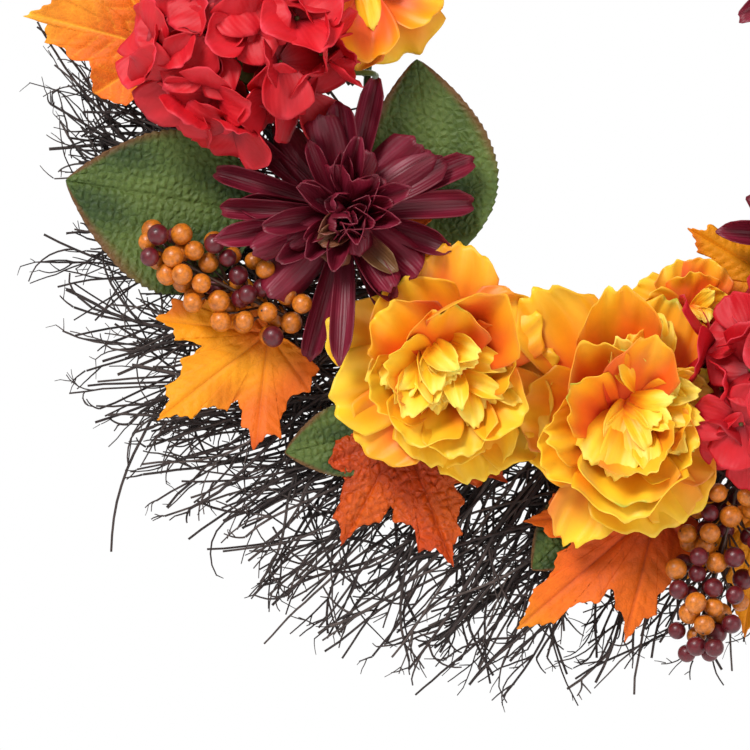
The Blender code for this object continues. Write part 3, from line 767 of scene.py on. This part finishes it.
def twig_with_sprigs(made, rng, root_angle, slant, reach, curly):
    root_r = rng.uniform(ROOT_R, 185 * MM)
    depth = rng.uniform(TWIG_BACK + 1 * MM, TWIG_FRONT - 2 * MM)
    start = on_ring(root_angle, root_r, depth)
    heading = math.radians(root_angle - slant + rng.normal(0, 5.5))
    length = 1.28 * (reach - root_r)
    bend = rng.normal(0, 0.3) - 0.1
    if rng.random() < curly:
        bend = rng.choice([-1, 1]) * rng.uniform(0.8, 2.4)
    steps = max(7, int(length / (8 * MM)))
    girth = rng.uniform(0.68, 1.04) * MM * (1.25 if rng.random() < 0.2 else 1)
    points, radii, headings = twig_run(rng, start, heading, length, girth, bend, steps)
    far = np.hypot(points[:, 0], points[:, 2] - CENTRE.z)
    keep = kept(points, reach)
    if keep < 4:
        return
    points, radii = points[:keep], radii[:keep]
    tint = bark_tint(rng)
    made.tube(points, radii, tint, 5)
    for _ in range(rng.integers(2, 6)):
        k = int(rng.integers(min(3, keep - 2), keep))
        out = max(6 * MM, reach + 2 * MM - far[k])
        way = headings[k] + rng.choice([-1, 1]) * rng.uniform(0.2, 0.75)
        span = min(rng.uniform(10, 55) * MM, 1.15 * out)
        bend = rng.normal(0, 0.7)
        bit, bit_radii, ways = twig_run(rng, points[k], way, span, radii[k] * 0.8, bend, 7, 0.12)
        stop = kept(bit, reach + 8 * MM)
        if stop < 3:
            continue
        made.tube(bit[:stop], bit_radii[:stop], tint, 4)
        for _ in range(rng.integers(0, 3)):
            j = int(rng.integers(1, stop))
            way = ways[j] + rng.choice([-1, 1]) * rng.uniform(0.4, 1.1)
            span = rng.uniform(2.5, 10) * MM
            small, small_radii, _ = twig_run(rng, bit[j], way, span, bit_radii[j] * 0.85, 0, 3, 0.2)
            made.tube(small, small_radii, tint, 4)


STRAY_BACK = 20  # degrees from a stray's start back to the middle of its bundle's roots
STRAY_REACH = 330 * MM
# Long loose ends: angle and radius of the start, heading, length in mm, bend
STRAYS = (
    (214.7, 250, 235, 114, 0.85),
    (184, 236, 134, 62, -0.15),
    (183, 238, 120, 56, 0.35),
    (245, 240, 208, 80, 0.3),
    (262, 244, 234, 76, -0.2),
)


def make_twigs(material):
    for i in range(BUNDLES):
        rng = np.random.default_rng(400 + i)
        made = Builder()
        middle = FIRST_BUNDLE + 360 * i / BUNDLES
        for tuft in range(TUFTS):
            across = 2 * (tuft + rng.uniform(0.1, 0.9)) / TUFTS - 1
            angle = middle + across * ROOT_HALF
            slant = SLANT - across * FAN + rng.normal(0, 7)
            oval = 1 - OVAL + OVAL * math.cos(2 * math.radians(angle - OVAL_WAY))
            share = rng.uniform(0.96, 1.0) if rng.random() < 0.65 else rng.uniform(0.9, 0.96)
            long = REACH * oval * share
            curly = 0.4 if 170 < angle % 360 < 215 else 0.14
            for _ in range(TWIGS):
                share = rng.uniform(0.92, 1.0) if rng.random() < 0.62 else rng.uniform(0.78, 0.92)
                twig_with_sprigs(made, rng, angle + rng.normal(0, 2.2), slant, long * share, curly)
        for angle, radius, heading, length, bend in STRAYS:
            if abs((angle + STRAY_BACK - middle + 180) % 360 - 180) > 180 / BUNDLES:
                continue
            start, heading = on_ring(angle, radius * MM, 20 * MM), math.radians(heading)
            run = twig_run(rng, start, heading, length * MM, 0.8 * MM, bend, 14, 0.04, 0)
            points, radii, _ = run
            stop = kept(points, STRAY_REACH)
            made.tube(points[:stop], radii[:stop], bark_tint(rng), 6)
        piece = made.object(f"twigs_{i + 1}", material)
        finish_piece(piece, BODY, f"twig_bundle_{i + 1}")


# ---- leaves

GOLD = srgb(242, 152, 10)
YELLOW = srgb(250, 196, 52)
ORANGE = srgb(232, 108, 16)
RUST = srgb(202, 70, 12)
DEEP_RUST_AND_SEAM_SHADE = srgb(140, 42, 16)
VEIN_BROWN = srgb(120, 52, 22)
CORAL = srgb(226, 92, 26)
GREEN = srgb(84, 104, 46)
GREEN_LIGHT_AND_PUFF_HIGHLIGHT = srgb(116, 134, 66)
GREEN_DARK_AND_SEAM_SHADE = srgb(50, 70, 32)
LEAF_BROWN = srgb(118, 74, 44)

# Half of a maple leaf's outline, from the tip round to the petiole, as shares of its length
MAPLE_HALF = (
    (1.00, 0.000), (0.89, 0.055), (0.81, 0.150), (0.73, 0.130), (0.64, 0.160), (0.58, 0.245),
    (0.52, 0.205), (0.46, 0.215), (0.49, 0.310), (0.55, 0.370), (0.53, 0.440), (0.60, 0.590),
    (0.46, 0.555), (0.38, 0.605), (0.31, 0.505), (0.23, 0.485), (0.17, 0.420), (0.10, 0.445),
    (0.02, 0.500), (-0.05, 0.430), (-0.13, 0.400), (-0.12, 0.250), (-0.08, 0.120), (-0.02, 0.025),
)
MAPLE_LOBES = ((0.0, 1.0), (44.5, 0.84), (87.7, 0.5))  # angle from the midrib, length


def even_outline(corners, count):
    """The closed outline through the corners, resampled evenly."""
    closed = np.vstack([corners, corners[:1]])
    along = np.concatenate([[0], np.cumsum(np.linalg.norm(np.diff(closed, axis=0), axis=1))])
    want = np.linspace(0, along[-1], count)
    return np.stack([np.interp(want, along, closed[:, k]) for k in (0, 1)], -1)


def puffs(rng, x, y, pitch):
    """Puffed cells of about this size: 0 on the seams between them and 1 on top."""
    cell_x, cell_y = np.floor(x / pitch).astype(int), np.floor(y / pitch).astype(int)
    size = 64
    jitter = rng.uniform(0.15, 0.85, (size, size, 2))
    first = np.full(x.shape, 9.0)
    second = np.full(x.shape, 9.0)
    for i in (-1, 0, 1):
        for j in (-1, 0, 1):
            spot = jitter[(cell_x + i) % size, (cell_y + j) % size]
            d = np.hypot(cell_x + i + spot[..., 0] - x / pitch, cell_y + j + spot[..., 1] - y / pitch)
            second = np.minimum(second, np.maximum(d, first))
            first = np.minimum(first, d)
    return np.sqrt(np.clip((second - first) / 0.55, 0, 1))


def maple_surface(rng, length, tone, curl, sides, quilt, rows=42, count=321):
    """A maple blade as rings round the petiole's end: points, tints and along."""
    half = np.array(MAPLE_HALF)
    corners = np.vstack([half * (1, sides[0]), (half * (1, -sides[1]))[::-1][:-1]])
    corners = corners * (1 + rng.normal(0, 0.03, corners.shape))
    rim = even_outline(corners, count)
    rim[:-1] *= 1 + 0.012 * np.sin(np.arange(count - 1)[:, None] * 2 * np.pi / 5)
    rho = np.linspace(0, 1, rows) ** 0.85
    flat = rho[:, None, None] * rim[None]
    x, y = flat[..., 0], flat[..., 1]
    height = np.zeros_like(x)
    vein = np.zeros_like(x)
    nearest = np.full_like(x, 9.0)
    for turn, reach in MAPLE_LOBES:
        for side, narrow in ((1, sides[0]), (-1, sides[1])) if turn else ((1, 1.0),):
            a = math.atan2(side * narrow * math.sin(math.radians(turn)), math.cos(math.radians(turn)))
            c, s = math.cos(a), math.sin(a)
            ahead = x * c + y * s
            off = np.abs(-x * s + y * c)
            own = (ahead > 0) & (ahead < reach * 1.05) & (off < nearest)
            nearest = np.where(own, off, nearest)
            ribs = np.sin(2 * np.pi * (ahead - 0.75 * off) / 0.17) ** 2
            height = np.where(own, 0.006 * ribs * ramp(off, 0.004, 0.05), height)
            strength = np.exp(-((off / 0.008) ** 2)) + 0.4 * (ribs < 0.035) * (off < 0.22)
            vein = np.where(own, np.clip(strength, 0, 1) * (1 - 0.5 * ahead / reach), vein)
    height -= 0.010 * np.exp(-((nearest / 0.014) ** 2))
    puff = puffs(rng, x * length, y * length, 4.6 * MM)
    height += quilt * MM / length * 2.2 * puff * ramp(nearest, 0.0, 0.05)
    phase = rng.uniform(0, 6.28, 3)
    height += 0.022 * np.sin(6 * x + phase[0]) * np.sin(7 * y + phase[1])
    wavy = 0.035 * rho[:, None] ** 3 * np.sin(9 * np.arctan2(y, x) + phase[2])
    height += curl * (x**2 * 0.5 + y**2 * 0.9) + wavy
    dist = np.hypot(x, y)
    shade = 0.5 + 0.5 * np.sin(5 * x + 4 * y + phase[0]) * np.sin(6 * y - 3 * x + phase[1])
    if tone == "gold":
        tint = mix(ORANGE, GOLD, ramp(dist + 0.3 * shade, 0.05, 0.5))
        tint = mix(tint, CORAL, 0.8 * ramp(y + 0.1 * shade, 0.16, 0.42))
        tint = mix(tint, RUST, 0.6 * ramp(shade + 0.8 * (rho[:, None] - 0.6), 0.85, 1.25))
        tint = mix(tint, VEIN_BROWN, 0.3 * vein)
    elif tone == "bright":
        tint = mix(ORANGE, YELLOW, ramp(dist + 0.35 * shade, 0.62, 1.08))
        tint = mix(tint, RUST, 0.45 * ramp(0.5 - dist + 0.25 * shade, 0.2, 0.7))
        tint = mix(tint, YELLOW, 0.6 * vein)
    elif tone == "amber":
        tint = mix(RUST, ORANGE, ramp(dist + 0.35 * shade, 0.2, 0.9))
        tint = mix(tint, GOLD, 0.7 * ramp(dist + 0.25 * shade, 0.85, 1.25))
        tint = mix(tint, DEEP_RUST_AND_SEAM_SHADE, 0.6 * vein)
    else:
        tint = mix(RUST, ORANGE, 0.5 * ramp(shade + 0.3 * dist, 0.4, 1.1))
        # Deep rust near the base and on the veins, and darker in the seams between the puffs: painted
        # shade.
        tint = mix(tint, DEEP_RUST_AND_SEAM_SHADE, 0.4 * ramp(0.5 - dist, 0.0, 0.5) + 0.4 * vein + 0.3 * (1 - puff))
    points = np.stack([x * length, y * length, height * length], -1)
    return points, tint, np.stack([dist, 0.5 + y, 0 * x], -1)


def green_surface(rng, length, curl, sides, quilt, rows=110, cols=61):
    """An ovate blade with fine teeth, pebbled all over."""
    t = np.linspace(0, 1, rows)[:, None]
    s = np.linspace(-1, 1, cols)[None, :]
    half = 0.34 * np.sin(np.pi * t**0.8) ** 0.8
    half = half * (1 + 0.035 * (((t * 26) % 1) - 0.5))
    x = t + 0 * s
    y = s * half * np.where(s > 0, sides[0], sides[1])
    off = np.abs(s)
    side = np.sin(np.pi * (t * 8 - off * 1.7))
    puff = puffs(rng, x * length, y * length, 3.9 * MM)
    height = quilt * MM / length * puff * ramp(off, 0.0, 0.08)
    height -= 0.004 * np.exp(-((off / 0.03) ** 2)) + 0.0015 * np.exp(-((side / 0.12) ** 2))
    phase = rng.uniform(0, 6.28, 3)
    height = height + curl * (y**2 * 2.2 + 0.25 * x**2) + 0.02 * off**3 * np.sin(9 * t + phase[0])
    vein = np.clip(np.exp(-((off / 0.025) ** 2)) + 0.35 * np.exp(-((side / 0.1) ** 2)), 0, 1)
    shade = 0.5 + 0.5 * np.sin(6 * x + 9 * y + phase[1]) * np.sin(11 * y - 3 * x + phase[2])
    # Darker in the seams between the puffs and lighter on their tops: painted shade and painted highlight,
    # over a blotchy print.
    tint = mix(GREEN_DARK_AND_SEAM_SHADE, GREEN, ramp(shade + 0.35 * puff, 0.1, 0.9))
    tint = mix(tint, GREEN_LIGHT_AND_PUFF_HIGHLIGHT, 0.4 * puff * ramp(shade, 0.3, 0.9))
    tint = mix(tint, GREEN_LIGHT_AND_PUFF_HIGHLIGHT, 0.15 * vein)
    tint = mix(tint, LEAF_BROWN, ramp(off + 0.6 * (t - 0.55) + 0.12 * shade, 0.9, 1.16) * 0.85)
    points = np.stack([x * length, y * length, height * length], -1)
    return points, tint, np.stack([x, 0.5 + 0.5 * s + 0 * t, 0 * x], -1)


# kind, number, angle of the base, distance outside the inner ring, turn, length, tilt, tone, curl,
# width of each side, quilting
LEAVES = (
    ("maple", 1, 175.0, 98, 124.0, 92, 4.0, "bright", -0.10, (0.88, 1.0), 0.15),
    ("maple", 2, 216.7, 87, 218.0, 68, 5.0, "gold", 0.10, (1.05, 1.0), 0.12),
    ("maple", 3, 240.3, 80, 291.0, 69, 4.0, "rust", -0.10, (1.0, 1.15), 0.6),
    ("maple", 4, 278.0, 93, 220.5, 90, 4.0, "amber", 0.05, (0.72, 0.7), 0.15),
    ("maple", 5, 291.2, 107, 262.0, 60, 3.0, "gold", 0.00, (0.9, 0.9), 0.15),
    ("maple", 6, 313.0, 21, 149.0, 56, 2.0, "gold", -0.05, (0.9, 0.9), 0.15),
    ("maple", 7, 215.6, 19, 350.0, 42, 0.0, "gold", 0.05, (1.0, 1.0), 0.12),
    ("maple", 8, 149.0, 86, 128.0, 76, 5.0, "rust", -0.05, (0.9, 0.9), 0.5),
    ("maple", 9, 46.0, 78, 22.0, 84, 5.0, "amber", 0.05, (0.9, 0.8), 0.3),
    ("maple", 10, 342.0, 84, 318.0, 82, 5.0, "bright", 0.05, (0.9, 0.9), 0.15),
    ("green", 1, 200.8, 62, 170.0, 96, 3.0, "green", 0.10, (1.4, 1.05), 1.2),
    ("green", 2, 227.5, 3, 96.0, 98, 1.0, "green", 0.10, (1.0, 1.0), 0.25),
    ("green", 3, 238.7, 82, 192.0, 52, 3.0, "green", 0.10, (1.0, 1.0), 0.7),
    ("green", 4, 271.5, 85, 224.0, 52, 3.0, "green", 0.05, (1.0, 1.0), 0.7),
    ("green", 5, 112.0, 78, 98.0, 92, 3.0, "green", 0.10, (1.0, 1.0), 0.8),
    ("green", 6, 14.0, 84, 352.0, 92, 4.0, "green", 0.10, (1.0, 1.0), 0.6),
)


FACE_FRONT = Matrix.Rotation(math.pi / 2, 4, "X")  # from a piece's own frame, +Z towards the viewer


def make_leaf(kind, number, angle, out, turn, length, tilt, tone, curl, sides, quilt, material):
    maple = kind == "maple"
    node = f"{kind}_leaf_{number}"
    rng = np.random.default_rng(500 + number + (0 if maple else 50))
    petiole = 0.2 if maple else 0.12
    length = length * MM
    made = Builder()
    if maple:
        points, tints, along = maple_surface(rng, length, tone, curl, sides, quilt)
    else:
        points, tints, along = green_surface(rng, length, curl, sides, quilt)
    made.sheet(points, tints, along, 0.5 * MM)
    back = petiole * length
    made.tube(
        [[-back, 0, 0], [-0.4 * back, 0, 0.4 * MM], [0.02 * length, 0, 0]], 0.9 * MM,
        VEIN_BROWN if maple else SEPAL, 6
    )
    piece = made.object(f"{kind}_blade_{number}", material, merge=True)
    lift = back * math.sin(math.radians(tilt))
    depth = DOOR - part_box(node)[1].y + lift + LEAF_THICKNESS / 2
    at = on_ring(angle, INNER_RING_R + out * MM, depth)
    spin = Matrix.Rotation(math.radians(turn), 4, "Z")
    tip_up = Matrix.Rotation(-math.radians(tilt), 4, "Y")
    piece.matrix_world = Matrix.Translation(at) @ FACE_FRONT @ spin @ tip_up
    finish_piece(piece, BODY, node)


def make_leaves(looks):
    for leaf in LEAVES:
        tone = leaf[7]
        make_leaf(*leaf, looks[tone])


# ---- berries

BERRY_ORANGE = srgb(202, 112, 22)
BERRY_RIM_SHADE = srgb(122, 50, 8)
BERRY_WINE = srgb(98, 14, 26)
BERRY_WINE_RIM_SHADE = srgb(48, 6, 16)
BLOSSOM = srgb(44, 24, 16)
STALK_BROWN = srgb(74, 48, 34)
BERRY_R = 5.2 * MM


def make_spray(number, angle, out, turn, length, width, wine_share, count, material):
    """Berries crowded round a wire, no two in the same place, each on a bent stalk."""
    rng = np.random.default_rng(600 + number)
    node = f"berry_spray_{number}"
    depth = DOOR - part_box(node)[0].y - 10 * MM
    made = Builder()
    length = length * MM
    spots = []
    while len(spots) < count:
        along = length * rng.uniform(0.05, 1.0)
        spread = width * MM * (0.35 + 0.65 * math.sin(math.pi * min(1, along / length) ** 0.8))
        spot = np.array([along, rng.uniform(-spread, spread), rng.uniform(-11, 6) * MM])
        if all(np.linalg.norm(spot - other) > 1.84 * BERRY_R for other in spots):
            spots.append(spot)
    middle, end = 0.5 * length / MM, 0.92 * length / MM
    wire = np.array([[-7, 0, -24], [-3, 0, -10], [6, 0, -5], [middle, 1, -5], [end, 0, -3]]) * MM
    made.tube(smooth(wire, 4), 0.9 * MM, STALK_BROWN, 6)
    for spot in spots:
        wine = rng.random() < wine_share
        skin, rim = (BERRY_WINE, BERRY_WINE_RIM_SHADE) if wine else (BERRY_ORANGE, BERRY_RIM_SHADE)
        radius = BERRY_R * rng.uniform(0.84, 1.06) * (0.95 if wine else 1.0)
        out_way = np.array([rng.uniform(-0.1, 0.9), spot[1] / (25 * MM), rng.uniform(-0.1, 0.7)])
        out_way /= np.linalg.norm(out_way)
        rows = 14
        lat = np.linspace(0, 1, rows + 1)
        # Darker towards both poles of each berry: painted shade at its rim.
        tints = mix(skin, rim, ramp(np.abs(lat - 0.42), 0.22, 0.58)) * rng.uniform(0.88, 1.08)
        made.ball(spot, radius, tints, out_way, rows, 22, 0.97)
        if rng.random() < 0.3:
            made.ball(spot + out_way * radius * 0.95, radius * 0.12, BLOSSOM, out_way, 4, 8, 0.5)
        foot = np.array([max(0, spot[0] - 13 * MM), 0.15 * spot[1], -6 * MM])
        knee = (foot + spot) / 2 + np.array([2, 0, -3]) * MM
        made.tube(np.array([foot, knee, spot - out_way * radius * 0.9]), 0.6 * MM, STALK_BROWN, 5)
    piece = made.object(f"berries_{number}", material)
    at = on_ring(angle, INNER_RING_R + out * MM, depth)
    piece.matrix_world = Matrix.Translation(at) @ FACE_FRONT @ Matrix.Rotation(math.radians(turn), 4, "Z")
    finish_piece(piece, BODY, node)


def make_sprays(material):
    make_spray(1, 219.0, 71, 152.0, 86, 18, 0.26, 44, material)
    make_spray(2, 289.5, 88, 255.0, 88, 20, 0.58, 46, material)
    make_spray(3, 117.0, 88, 126.0, 82, 20, 0.3, 32, material)
    make_spray(4, 18.0, 78, 40.0, 82, 20, 0.5, 32, material)


# ---- stems, wires and blooms


def make_stem(node, at, material):
    """Peg, calyx cup with sepals and the wire that runs back to the inner ring."""
    low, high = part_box(node)
    rng = np.random.default_rng(int(abs(at.x) * 1e5))
    made = Builder()
    depth = DOOR - at.y
    angle = math.degrees(math.atan2(at.z - CENTRE.z, at.x))
    radius = math.hypot(at.x, at.z - CENTRE.z)
    tie_r = INNER_RING_R - FRAME_WIRE_R - 1.9 * MM
    centre = Vector(((low.x + high.x) / 2, 0, (low.z + high.z) / 2))
    far = Vector((2 * centre.x - at.x, 0, 2 * centre.z - at.z))
    tie_angle = math.degrees(math.atan2(far.z - CENTRE.z, far.x))
    if abs((tie_angle - angle + 180) % 360 - 180) > 8:
        tie_angle = angle
    run = TWIG_FRONT + 4.4 * MM
    corners = [
        on_ring(angle, radius, depth + 8 * MM),
        on_ring(angle, radius, depth - 4 * MM),
        on_ring(angle, radius, depth - 12 * MM),
        on_ring(angle, radius - 4 * MM, run),
        on_ring(tie_angle, tie_r + 8 * MM, run),
        on_ring(tie_angle, tie_r, run - 9 * MM),
        on_ring(tie_angle, tie_r, FRAME_DEPTH - FRAME_WIRE_R),
    ]
    wire = smooth(np.array([tuple(c) for c in corners]), 5)
    made.tube(wire, 1.5 * MM, SEPAL * 0.5, 8)
    cup_r = np.array([1.6, 3.4, 5.4, 6.4, 6.2]) * MM
    cup = np.array([tuple(on_ring(angle, radius, depth - d * MM)) for d in (11.2, 9.5, 6.5, 3, 0.6)])
    made.tube(cup, cup_r, SEPAL * 0.7, 12)
    for k in range(6):
        points, s, v = petal(
            rng, 17 * MM, 7 * MM, -6, 34, start=5 * MM, tip=0.3, neck=0.5, belly=0.4, rows=9, cols=5
        )
        tints = mix(SEPAL * 0.6, SEPAL, s)
        leaf = facing_front(turned(points, k * np.pi / 3)) + np.array([at.x, at.y + 3 * MM, at.z])
        made.sheet(leaf, tints, place_along(s, v, k), 0.4 * MM)
    finish_piece(made.object(f"{node}_wire", material), BODY, node)


def smooth(points, steps):
    """A Catmull-Rom curve through the points."""
    ends = np.vstack([2 * points[0] - points[1], points, 2 * points[-1] - points[-2]])
    path = [points[0]]
    for i in range(1, len(ends) - 2):
        a, b, c, d = ends[i - 1 : i + 3]
        square, cube = 2 * a - 5 * b + 4 * c - d, 3 * b - a - 3 * c + d
        for t in np.linspace(0, 1, steps + 1)[1:]:
            path.append(0.5 * (2 * b + (c - a) * t + square * t**2 + cube * t**3))
    return np.array(path)


RING_GREEN = srgb(46, 70, 42)
WIRE_GREEN = srgb(58, 70, 50)


def make_rings(material):
    """The two rings of the frame, and the cross wires between them."""
    for name, radius, node in (
        ("outer_ring_wire", OUTER_RING_R, "outer_ring"),
        ("inner_ring_wire", INNER_RING_R, "inner_ring"),
    ):
        made = Builder()
        circle = [on_ring(a, radius, FRAME_DEPTH) for a in np.linspace(0, 360, 144, endpoint=False)]
        made.tube(circle, FRAME_WIRE_R, RING_GREEN, 12, closed=True)
        if node == "outer_ring":
            span = np.linspace(INNER_RING_R + 2 * MM, OUTER_RING_R, 6)
            for k in range(4):
                cross = [on_ring(22 + 90 * k, r, FRAME_DEPTH) for r in span]
                made.tube(cross, 1.5 * MM, RING_GREEN, 10)
        finish_piece(made.object(name, material), BODY, node)


def make_binding(material):
    """Round the roots in front and the rings behind, in a closed winding."""
    turns, each = 16, 28
    made = Builder()
    inner, outer = INNER_RING_R - 4.6 * MM, OUTER_RING_R + 3.0 * MM
    back, front = FRAME_DEPTH - FRAME_WIRE_R - 1.2 * MM, TWIG_FRONT + 0.9 * MM
    points = []
    for i in range(turns * each):
        a = 2 * math.pi * i / each
        across = abs(math.cos(a)) ** 0.35 * math.copysign(1, math.cos(a))
        out = abs(math.sin(a)) ** 0.35 * math.copysign(1, math.sin(a))
        radius = (inner + outer) / 2 - across * (outer - inner) / 2
        depth = (back + front) / 2 + out * (front - back) / 2
        points.append(on_ring(360 * i / (turns * each), radius, depth))
    made.tube(points, 0.5 * MM, WIRE_GREEN * 0.6, 6, closed=True)
    finish_piece(made.object("binding", material), BODY, "binding_wire")


def dress_loop(material):
    """The hanging loop keeps its CAD mesh."""
    loop = frame["nodes"]["hanging_loop"].data
    loop.materials.clear()
    loop.materials.append(material)


# Size and shift in mm of each bloom that isn't as usual
BLOOM_SIZE = {"peony_3": 0.62, "hydrangea_2": 1.02}
BLOOM_SHIFT = {"hydrangea_1": (-5, 0, 10), "hydrangea_2": (-3, 0, 2), "peony_3": (0, 0, -2)}


def make_blooms(looks):
    """A bloom and its stem for each joint but the hanging loop's."""
    makers = {"peony": make_peony, "mum": make_mum, "hydrangea": make_hydrangea}
    for joint in frame["joints"]:
        body = joint["child"]
        if body == "loop":
            continue
        kind, number = body.split("_")
        at = Vector(joint["pos_m"])
        place = at + Vector(BLOOM_SHIFT.get(body, (0, 0, 0))) * MM
        makers[kind](int(number), place, BLOOM_SIZE.get(body, 1.0), looks[kind])
        make_stem(f"{kind}_stem_{number}", at, looks["stem"])


def main():
    make_camera()
    make_surroundings()
    looks = {
        "peony": petal_material("peony_silk", 2.5, 0.25, 0.5, 0.1),
        "mum": petal_material("mum_silk", 3, 0.6, 0.5, 0.0, 0.18),
        "hydrangea": petal_material("hydrangea_silk", 3, 0.3, 0.6, 0.0),
        "stem": petal_material("stem_plastic", 3, 0.2, 0.5, 0.0),
    }
    leaf_looks = {
        "gold": leaf_material("gold_leaf", 420, 0.95, 0.6, 0.1, 0.09, 0.12 * MM),
        "bright": leaf_material("bright_leaf", 420, 1.2, 0.6, 0.14, 0.09, 0.12 * MM),
        "amber": leaf_material("amber_leaf", 460, 0.92, 0.6, 0.16, 0.09, 0.12 * MM),
        "rust": leaf_material("rust_leaf", 210, 0.84, 0.48, 0.16, 0.3, 1.2 * MM),
        "green": leaf_material("green_leaf", 255, 0.88, 0.55, 0.12, 0.45, 1.3 * MM),
    }
    make_twigs(bark_material())
    make_rings(wire_material("ring_enamel", 0.4, 0.45))
    green_wire = wire_material("green_wire", 0.6, 0.4)
    make_binding(green_wire)
    dress_loop(green_wire)
    make_leaves(leaf_looks)
    make_sprays(berry_material())
    make_blooms(looks)


main()
